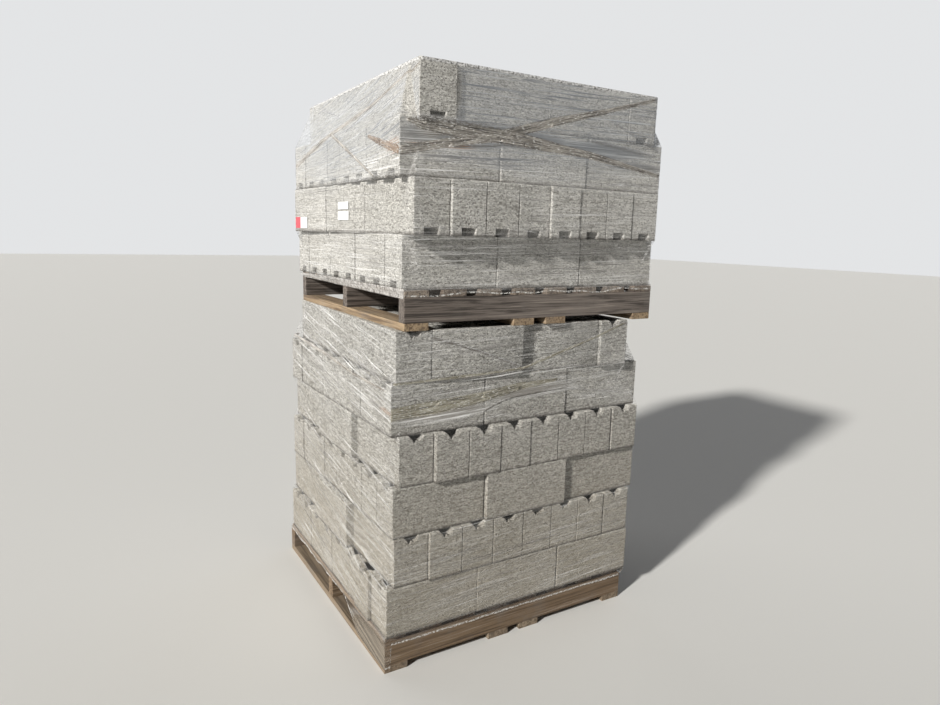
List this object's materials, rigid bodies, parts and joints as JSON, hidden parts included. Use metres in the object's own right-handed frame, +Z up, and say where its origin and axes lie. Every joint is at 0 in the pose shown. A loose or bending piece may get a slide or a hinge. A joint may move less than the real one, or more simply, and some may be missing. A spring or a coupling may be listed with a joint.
{
  "type": "pallet of concrete blocks",
  "caption": "Stretch-wrapped pallets of hollow concrete blocks, one standing on the other, with uneven courses, notched block ends and timber pallets open to forks at their sides.",
  "frame": {"origin": "on the floor below the middle of the tower", "axes": "+X along the front, +Y from front to back, +Z up"},
  "size_m": [1.2653, 1.2775, 2.1858],
  "materials": {
    "concrete": "coarse pressed concrete, pale warm grey with dark and light grains",
    "upper_timber": "sawn timber weathered to grey brown",
    "upper_base_timber": "sawn timber, paler and less weathered",
    "lower_timber": "sawn timber stained orange brown",
    "lower_base_timber": "sawn timber, dusty beige",
    "stretch_film": "clear stretch film, hazy, streaked and dusty"
  },
  "bodies": {
    "root": {"lower_front_bearer": "lower_timber", "lower_middle_bearer": "lower_timber", "lower_back_bearer": "lower_timber", "lower_deck_board_1": "lower_timber", "lower_deck_board_2": "lower_timber", "lower_deck_board_3": "lower_timber", "lower_deck_board_4": "lower_timber", "lower_deck_board_5": "lower_timber", "lower_deck_board_6": "lower_timber", "lower_deck_board_7": "lower_timber", "lower_deck_board_8": "lower_timber", "lower_base_board_1": "lower_base_timber", "lower_base_board_2": "lower_base_timber", "lower_base_board_3": "lower_base_timber", "lower_base_board_4": "lower_base_timber", "upper_front_bearer": "upper_timber", "upper_middle_bearer": "upper_timber", "upper_back_bearer": "upper_timber", "upper_deck_board_1": "upper_timber", "upper_deck_board_2": "upper_timber", "upper_deck_board_3": "upper_timber", "upper_deck_board_4": "upper_timber", "upper_deck_board_5": "upper_timber", "upper_deck_board_6": "upper_timber", "upper_deck_board_7": "upper_timber", "upper_deck_board_8": "upper_timber", "upper_base_board_1": "upper_base_timber", "upper_base_board_2": "upper_base_timber", "upper_base_board_3": "upper_base_timber", "upper_base_board_4": "upper_base_timber", "lower_course_1": "concrete", "lower_course_2": "concrete", "lower_course_3": "concrete", "lower_course_4": "concrete", "lower_course_5": "concrete", "lower_course_6": "concrete", "upper_course_1": "concrete", "upper_course_2": "concrete", "upper_course_3": "concrete", "upper_course_4_sides": "concrete", "upper_course_4_middle": "concrete", "lower_film": "stretch_film", "upper_film": "stretch_film"}
  },
  "joints": []
}
